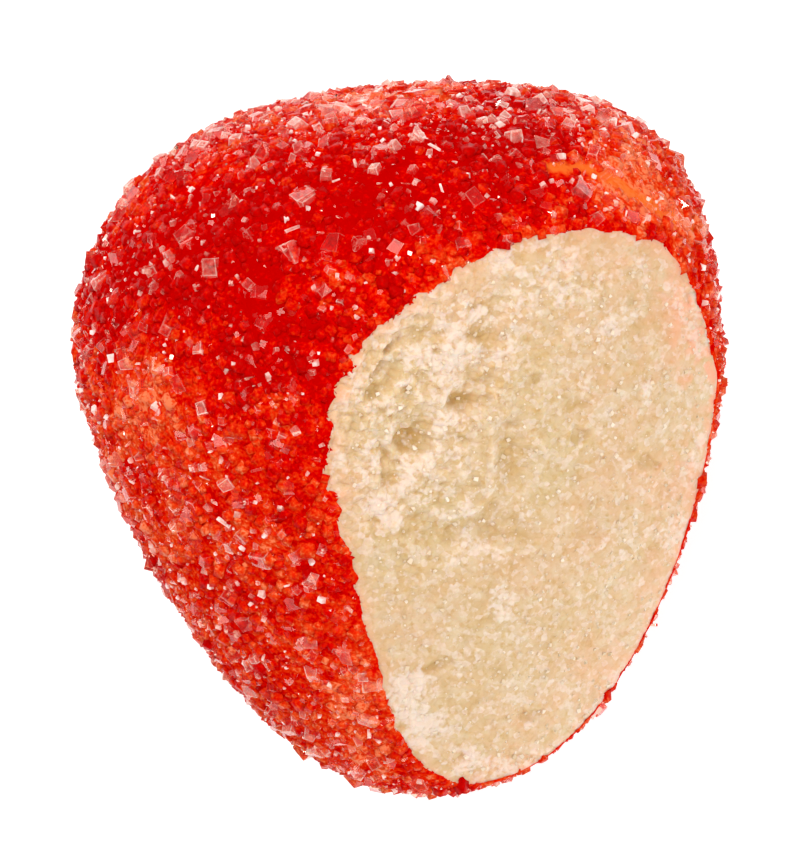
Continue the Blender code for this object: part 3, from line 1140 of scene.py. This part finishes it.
material, shader = new_finish(
    "red glaze", Roughness=0.35, Specular_IOR_Level=0.0, Specular_Tint=(1.0, 0.12, 0.06, 1)
)
cells = cell_pattern(material, 0.42 * MM)
cell_tint = add_node(material, "ShaderNodeSeparateColor", {"Color": cells.outputs["Color"]}).outputs[0]
spread = math_node(material, "MULTIPLY_ADD", cell_tint, 0.3, -0.25)
colour = sugar_red(material, math_node(material, "ADD", attribute(material, "paleness"), spread))
patchy = math_node(material, "MULTIPLY_ADD", noise_pattern(material, 0.35 * MM), 1.6, -0.8)
streak = math_node(material, "ADD", attribute(material, "streak"), patchy)
colour = mix(material, grey_ramp(material, streak, (0.3, 0.0), (0.9, 0.85)), colour, ORANGE)
seams = cell_pattern(material, 0.42 * MM, "DISTANCE_TO_EDGE").outputs["Distance"]
bump(material, shader, seams, 0.03 * MM)
finish(crust, material, shader, colour)

# %% Sugar finishes
material, shader = new_finish(
    "dyed sugar", Roughness=0.2, Specular_IOR_Level=0.04, Specular_Tint=(1.0, 0.35, 0.2, 1)
)
bump(material, shader, noise_pattern(material, 0.2 * MM), 0.03 * MM)
finish(packed_sugar, material, shader, sugar_red(material, attribute(material, "tint")))

CLEAR_TINTS = ((0.0, (1.0, 0.64, 0.5)), (0.5, (1.0, 0.68, 0.54)), (1.0, (1.0, 0.9, 0.84)))
material, shader = new_finish(
    "clear sugar", Roughness=0.0, IOR=1.5, Specular_Tint=(1.0, 0.8, 0.7, 1)
)
haze = math_node(material, "MULTIPLY_ADD", noise_pattern(material, 0.25 * MM), 0.6, -0.35)
frosted = math_node(material, "ADD", attribute(material, "tint"), haze)
# hazy spots and rims let less light through and turn white; the white rims are partly painted highlight
clearness = grey_ramp(material, frosted, (0.2, 1.0), (0.5, 0.8), (1.0, 0.15))
material.node_tree.links.new(clearness, shader.inputs["Transmission Weight"])
colour = ramp(material, frosted, *CLEAR_TINTS)
for piece in (large_crystals, clear_sugar, grains_with_painted_glints, slivers_with_painted_glints):
    finish(piece, material, shader, colour)
    piece.visible_shadow = False
    piece.visible_diffuse = False

material, shader = new_finish("paste sugar", Roughness=0.4, Specular_IOR_Level=0.3)
colour = ramp(material, attribute(material, "tint"), (0.0, LIGHT_CREAM), (1.0, (0.86, 0.72, 0.57)))
finish(paste_sugar, material, shader, colour)

PIECES = {
    marzipan: "marzipan_crumb",
    crust: "red_sugar",
    packed_sugar: "red_sugar",
    large_crystals: "red_sugar",
    clear_sugar: "red_sugar",
    grains_with_painted_glints: "red_sugar",
    slivers_with_painted_glints: "red_sugar",
    paste_sugar: "marzipan_crumb",
}
for piece, slot in PIECES.items():
    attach(piece, "root")
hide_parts("marzipan")
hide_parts("sugar_coat")

# %% Table
bpy.ops.mesh.primitive_plane_add(size=3.0)
table = bpy.context.object
table.name = "table"
material, shader = new_finish("paper", Roughness=0.7, Emission_Color=(1, 1, 1, 1), Emission_Strength=0.35)
shader.inputs["Base Color"].default_value = (0.94, 0.98, 0.98, 1)
table.data.materials.append(material)
table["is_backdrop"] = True

# %% Light


def soft_light(name, place, size, brightness):
    """A square lamp aimed at the berry, with its brightness as seen from there."""
    bpy.ops.object.light_add(type="AREA", location=place)
    lamp = bpy.context.object
    lamp.name = name
    lamp.data.size = size
    lamp.data.energy = brightness * math.pi * size ** 2
    aim = Vector(MIDDLE) - Vector(place)
    lamp.rotation_euler = aim.to_track_quat("-Z", "Y").to_euler()
    return lamp


soft_light("key", (-0.18, 0.26, 0.36), 0.30, 5.3)
soft_light("fill", (0.30, -0.14, 0.32), 0.28, 3.35)
soft_light("glint", (0.03, -0.28, 0.34), 0.05, 40.0)
soft_light("top glint", (-0.06, 0.05, 0.50), 0.05, 40.0)
world = bpy.data.worlds.new("studio")
bpy.context.scene.world = world
world.use_nodes = True
world.node_tree.nodes["Background"].inputs["Color"].default_value = (1, 1, 1, 1)
world.node_tree.nodes["Background"].inputs["Strength"].default_value = 0.42

# %% Camera
CAMERA_DISTANCE = 202 * MM
FRAME_HEIGHT = 40.9 * MM
bpy.ops.object.camera_add(location=(0.04 * MM, 0.8 * MM, REST_HEIGHT + CAMERA_DISTANCE))
camera = bpy.context.object
camera.rotation_euler = (0, 0, math.radians(1.5))
camera.data.sensor_width = 36
camera.data.lens = camera.data.sensor_width * CAMERA_DISTANCE / FRAME_HEIGHT
camera.data.clip_start = 0.01
bpy.context.scene.camera = camera
bpy.context.scene.view_settings.view_transform = "Standard"

# %% Compare the visual model's box with the solid one
sizes = {"cad": [list(map(float, corner)) for corner in cad_box]}
sizes["visual"] = [list(map(float, corner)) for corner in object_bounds()]
print(sizes)
